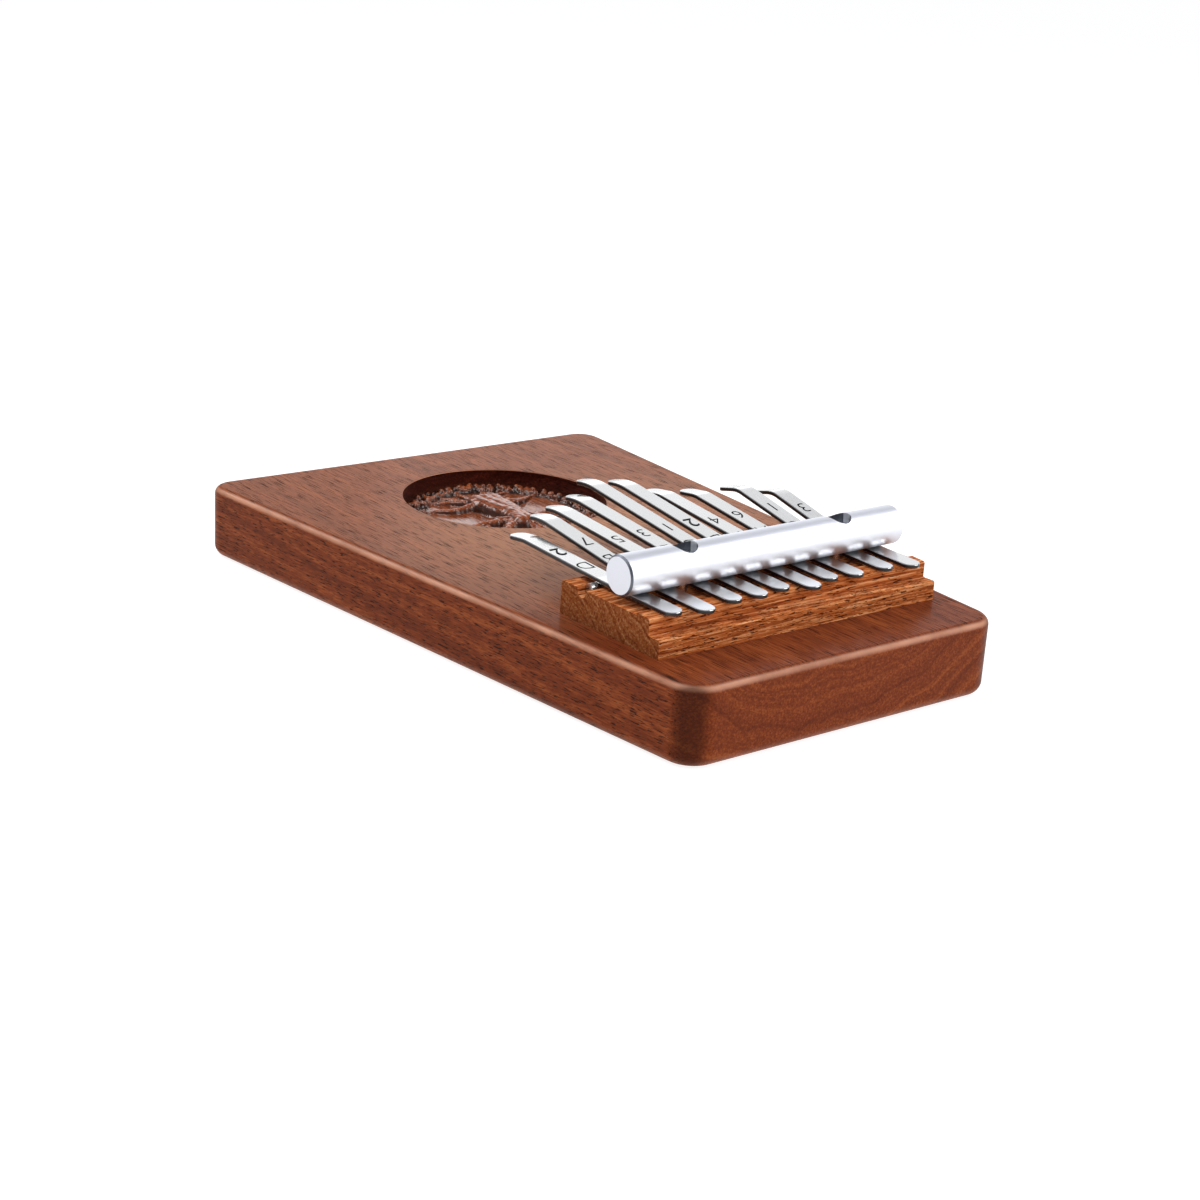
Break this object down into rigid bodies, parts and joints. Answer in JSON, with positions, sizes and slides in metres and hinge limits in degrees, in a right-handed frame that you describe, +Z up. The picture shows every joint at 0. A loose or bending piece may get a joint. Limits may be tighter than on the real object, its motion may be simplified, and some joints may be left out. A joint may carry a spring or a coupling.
{
  "type": "thumb piano",
  "caption": "Solid-board thumb piano with a carved round pocket, a wooden bridge block and steel tines held under a screwed pressure bar.",
  "frame": {"origin": "middle of the underside, below the middle of the board's bounding box", "axes": "+Z up out of the playing face, +Y along the board from the player's end towards the bridge, +X to the player's right"},
  "size_m": [0.1266, 0.18, 0.0382],
  "materials": {
    "board_wood": "satin",
    "block_wood": "matte",
    "rod_steel": "polished",
    "bar_aluminium": "satin",
    "screw_steel": "polished",
    "tine_steel": "polished"
  },
  "bodies": {
    "body": {"board": "board_wood", "bridge_block": "block_wood", "saddle_rod": "rod_steel"},
    "bar": {"pressure_bar": "bar_aluminium"},
    "screw_left": {"clamp_screw_left": "screw_steel"},
    "screw_right": {"clamp_screw_right": "screw_steel"},
    "tine_1": {"tine_1_clamped": "tine_steel"},
    "tongue_1": {"tine_1_tongue": "tine_steel"},
    "tine_2": {"tine_2_clamped": "tine_steel"},
    "tongue_2": {"tine_2_tongue": "tine_steel"},
    "tine_3": {"tine_3_clamped": "tine_steel"},
    "tongue_3": {"tine_3_tongue": "tine_steel"},
    "tine_4": {"tine_4_clamped": "tine_steel"},
    "tongue_4": {"tine_4_tongue": "tine_steel"},
    "tine_5": {"tine_5_clamped": "tine_steel"},
    "tongue_5": {"tine_5_tongue": "tine_steel"},
    "tine_6": {"tine_6_clamped": "tine_steel"},
    "tongue_6": {"tine_6_tongue": "tine_steel"},
    "tine_7": {"tine_7_clamped": "tine_steel"},
    "tongue_7": {"tine_7_tongue": "tine_steel"},
    "tine_8": {"tine_8_clamped": "tine_steel"},
    "tongue_8": {"tine_8_tongue": "tine_steel"},
    "tine_9": {"tine_9_clamped": "tine_steel"},
    "tongue_9": {"tine_9_tongue": "tine_steel"},
    "tine_10": {"tine_10_clamped": "tine_steel"},
    "tongue_10": {"tine_10_tongue": "tine_steel"}
  },
  "joints": [
    {"name": "bar_lift", "type": "slide", "parent": "body", "child": "bar", "axis": [0, 0, 1], "range_m": [0, 0.0015]},
    {"name": "screw_left_turn", "type": "hinge", "parent": "bar", "child": "screw_left", "pos_m": [-0.02378, 0.0568, 0.03346], "axis": [0, 0, 1], "range_deg": [0, 433]},
    {"name": "screw_right_turn", "type": "hinge", "parent": "bar", "child": "screw_right", "pos_m": [0.02378, 0.0568, 0.03346], "axis": [0, 0, 1], "range_deg": [0, 433]},
    {"name": "tine_1_tune", "type": "slide", "parent": "body", "child": "tine_1", "axis": [0, 0.9998, -0.0205], "range_m": [-0.002, 0.002]},
    {"name": "tine_1_pluck", "type": "hinge", "parent": "tine_1", "child": "tongue_1", "pos_m": [-0.03623, 0.045, 0.02845], "axis": [1, 0, 0], "range_deg": [-2, 3], "stiffness_Nm_per_rad": 2},
    {"name": "tine_2_tune", "type": "slide", "parent": "body", "child": "tine_2", "axis": [0, 0.9998, -0.0205], "range_m": [-0.002, 0.002]},
    {"name": "tine_2_pluck", "type": "hinge", "parent": "tine_2", "child": "tongue_2", "pos_m": [-0.02867, 0.045, 0.02845], "axis": [1, 0, 0], "range_deg": [-2, 3], "stiffness_Nm_per_rad": 2},
    {"name": "tine_3_tune", "type": "slide", "parent": "body", "child": "tine_3", "axis": [0, 0.9998, -0.0205], "range_m": [-0.002, 0.002]},
    {"name": "tine_3_pluck", "type": "hinge", "parent": "tine_3", "child": "tongue_3", "pos_m": [-0.01887, 0.045, 0.02845], "axis": [1, 0, 0], "range_deg": [-2, 3], "stiffness_Nm_per_rad": 2},
    {"name": "tine_4_tune", "type": "slide", "parent": "body", "child": "tine_4", "axis": [0, 0.9998, -0.0205], "range_m": [-0.002, 0.002]},
    {"name": "tine_4_pluck", "type": "hinge", "parent": "tine_4", "child": "tongue_4", "pos_m": [-0.01132, 0.045, 0.02845], "axis": [1, 0, 0], "range_deg": [-2, 3], "stiffness_Nm_per_rad": 2},
    {"name": "tine_5_tune", "type": "slide", "parent": "body", "child": "tine_5", "axis": [0, 0.9998, -0.0205], "range_m": [-0.002, 0.002]},
    {"name": "tine_5_pluck", "type": "hinge", "parent": "tine_5", "child": "tongue_5", "pos_m": [-0.00378, 0.045, 0.02845], "axis": [1, 0, 0], "range_deg": [-2, 3], "stiffness_Nm_per_rad": 2},
    {"name": "tine_6_tune", "type": "slide", "parent": "body", "child": "tine_6", "axis": [0, 0.9998, -0.0205], "range_m": [-0.002, 0.002]},
    {"name": "tine_6_pluck", "type": "hinge", "parent": "tine_6", "child": "tongue_6", "pos_m": [0.00378, 0.045, 0.02845], "axis": [1, 0, 0], "range_deg": [-2, 3], "stiffness_Nm_per_rad": 2},
    {"name": "tine_7_tune", "type": "slide", "parent": "body", "child": "tine_7", "axis": [0, 0.9998, -0.0205], "range_m": [-0.002, 0.002]},
    {"name": "tine_7_pluck", "type": "hinge", "parent": "tine_7", "child": "tongue_7", "pos_m": [0.01132, 0.045, 0.02845], "axis": [1, 0, 0], "range_deg": [-2, 3], "stiffness_Nm_per_rad": 2},
    {"name": "tine_8_tune", "type": "slide", "parent": "body", "child": "tine_8", "axis": [0, 0.9998, -0.0205], "range_m": [-0.002, 0.002]},
    {"name": "tine_8_pluck", "type": "hinge", "parent": "tine_8", "child": "tongue_8", "pos_m": [0.01887, 0.045, 0.02845], "axis": [1, 0, 0], "range_deg": [-2, 3], "stiffness_Nm_per_rad": 2},
    {"name": "tine_9_tune", "type": "slide", "parent": "body", "child": "tine_9", "axis": [0, 0.9998, -0.0205], "range_m": [-0.002, 0.002]},
    {"name": "tine_9_pluck", "type": "hinge", "parent": "tine_9", "child": "tongue_9", "pos_m": [0.02867, 0.045, 0.02845], "axis": [1, 0, 0], "range_deg": [-2, 3], "stiffness_Nm_per_rad": 2},
    {"name": "tine_10_tune", "type": "slide", "parent": "body", "child": "tine_10", "axis": [0, 0.9998, -0.0205], "range_m": [-0.002, 0.002]},
    {"name": "tine_10_pluck", "type": "hinge", "parent": "tine_10", "child": "tongue_10", "pos_m": [0.03623, 0.045, 0.02845], "axis": [1, 0, 0], "range_deg": [-2, 3], "stiffness_Nm_per_rad": 2}
  ],
  "couplings": [
    {"joint": "screw_left_turn", "follows": "bar_lift", "rad_per_m": 5026.5},
    {"joint": "screw_right_turn", "follows": "bar_lift", "rad_per_m": 5026.5}
  ]
}
